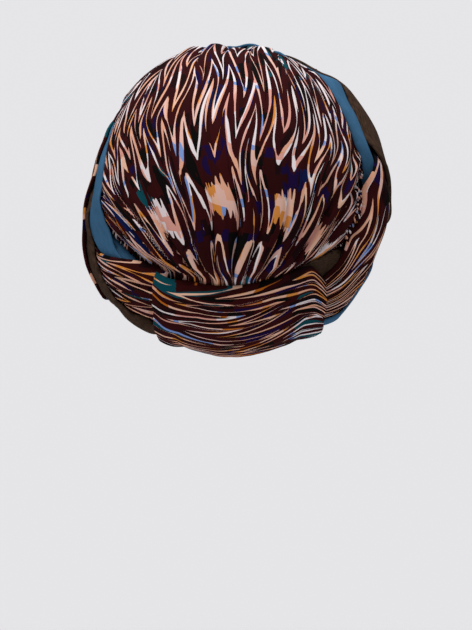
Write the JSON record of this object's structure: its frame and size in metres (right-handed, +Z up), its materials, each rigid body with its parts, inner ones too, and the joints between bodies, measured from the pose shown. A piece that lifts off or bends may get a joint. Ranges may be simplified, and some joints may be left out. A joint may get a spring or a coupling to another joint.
{
  "type": "turban headwrap",
  "caption": "Pre-tied turban: a gathered printed cap with a nape panel, and printed, blue and brown scarves wrapped round it.",
  "frame": {"origin": "the middle of the head that wears it, level with the brow, where the head fills the wrap", "axes": "+Z up, +Y the way the wearer faces, +X the wearer's right; the nape panel is at -Y"},
  "size_m": [0.2362, 0.2466, 0.233],
  "materials": {
    "printed_cloth": "matt jersey printed with flame-like stripes",
    "blue_cloth": "matt blue jersey",
    "brown_cloth": "matt dark brown jersey"
  },
  "bodies": {
    "root": {"crown": "printed_cloth", "nape_panel": "printed_cloth", "print_fan_left": "printed_cloth", "print_wrap_right": "printed_cloth", "print_wrap_left": "printed_cloth", "blue_wrap": "blue_cloth", "blue_fold_left": "blue_cloth", "blue_edge_right": "blue_cloth", "brown_wrap_left": "brown_cloth", "brown_wrap_right": "brown_cloth", "brown_underlay_right": "brown_cloth"}
  },
  "joints": []
}
